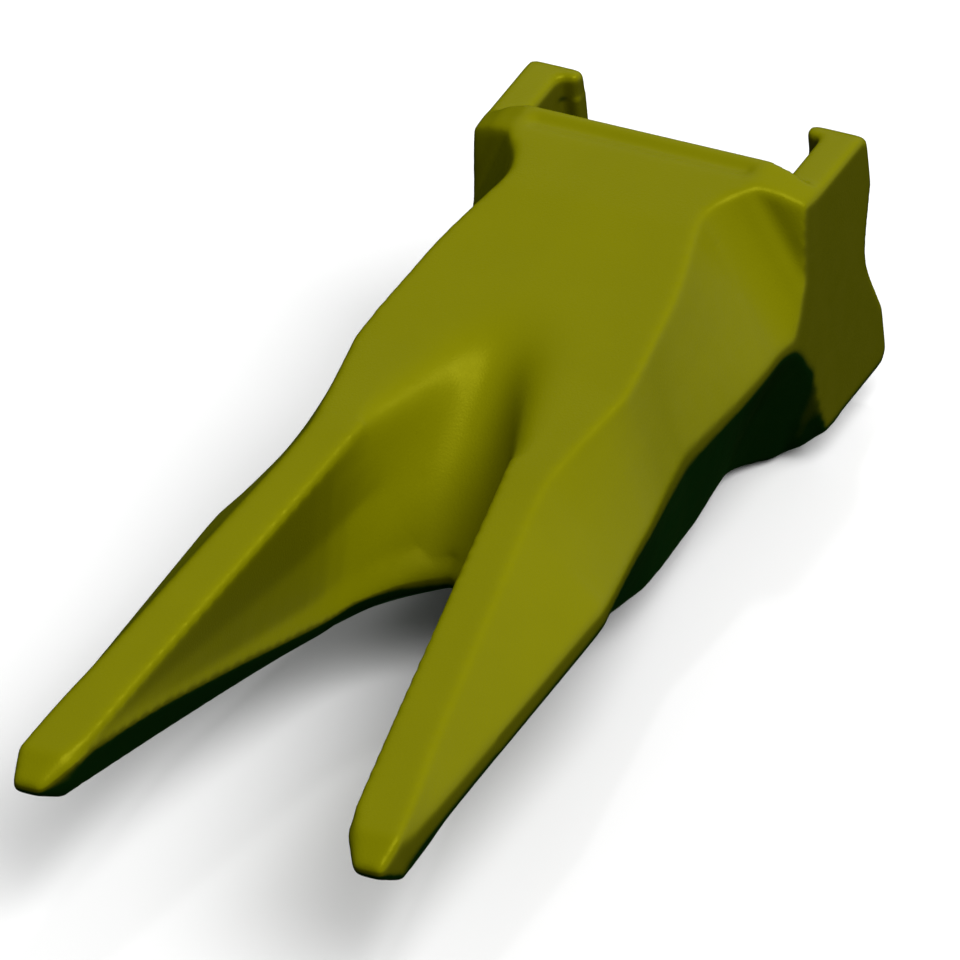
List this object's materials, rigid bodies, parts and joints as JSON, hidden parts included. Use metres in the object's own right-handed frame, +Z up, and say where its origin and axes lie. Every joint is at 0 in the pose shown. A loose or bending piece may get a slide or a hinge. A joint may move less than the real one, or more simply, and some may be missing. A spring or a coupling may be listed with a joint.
{
  "type": "excavator bucket tooth",
  "caption": "Twin-pick bucket tooth point: a tapered steel casting with a socket, splayed chisel tines and rear ears that each hold a turning vertical lock pin.",
  "frame": {"origin": "centre of the socket mouth's rear plane, at half height", "axes": "+X to the right ear, +Y rearwards to the adapter, +Z up"},
  "size_m": [0.172, 0.445, 0.137],
  "materials": {
    "painted_casting": "olive-yellow paint on a sand casting, satin",
    "lock_steel": "dark phosphated cast steel",
    "pin_steel": "machined alloy steel",
    "lock_rubber": "matt nitrile rubber"
  },
  "bodies": {
    "point": {"tooth_point": "painted_casting"},
    "housing_right": {"lock_housing_right": "lock_steel", "preload_pad_right": "lock_rubber", "detent_screw_right": "pin_steel"},
    "housing_left": {"lock_housing_left": "lock_steel", "preload_pad_left": "lock_rubber", "detent_screw_left": "pin_steel"},
    "pin_right": {"lock_pin_right": "pin_steel", "retaining_ring_right": "pin_steel"},
    "pin_left": {"lock_pin_left": "pin_steel", "retaining_ring_left": "pin_steel"},
    "plunger_right": {"detent_plunger_right": "pin_steel", "detent_spring_right": "lock_rubber"},
    "plunger_left": {"detent_plunger_left": "pin_steel", "detent_spring_left": "lock_rubber"},
    "plug_right": {"drive_plug_right": "lock_rubber"},
    "plug_left": {"drive_plug_left": "lock_rubber"}
  },
  "joints": [
    {"name": "housing_slide_right", "type": "slide", "parent": "point", "child": "housing_right", "axis": [0, 0, 1], "range_m": [0, 0.1]},
    {"name": "housing_slide_left", "type": "slide", "parent": "point", "child": "housing_left", "axis": [0, 0, 1], "range_m": [0, 0.1]},
    {"name": "pin_turn_right", "type": "hinge", "parent": "housing_right", "child": "pin_right", "pos_m": [0.038, 0.0132, 0], "axis": [0, 0, -1], "range_deg": [0, 90]},
    {"name": "pin_turn_left", "type": "hinge", "parent": "housing_left", "child": "pin_left", "pos_m": [-0.038, 0.0132, 0], "axis": [0, 0, 1], "range_deg": [0, 90]},
    {"name": "plug_pull_right", "type": "slide", "parent": "pin_right", "child": "plug_right", "axis": [0, 0, 1], "range_m": [0, 0.03]},
    {"name": "plug_pull_left", "type": "slide", "parent": "pin_left", "child": "plug_left", "axis": [0, 0, 1], "range_m": [0, 0.03]},
    {"name": "plunger_slide_right", "type": "slide", "parent": "housing_right", "child": "plunger_right", "axis": [0, 1, 0], "range_m": [0, 0.0012], "stiffness_N_per_m": 500, "springref_m": -0.001},
    {"name": "plunger_slide_left", "type": "slide", "parent": "housing_left", "child": "plunger_left", "axis": [0, 1, 0], "range_m": [0, 0.0012], "stiffness_N_per_m": 500, "springref_m": -0.001}
  ]
}
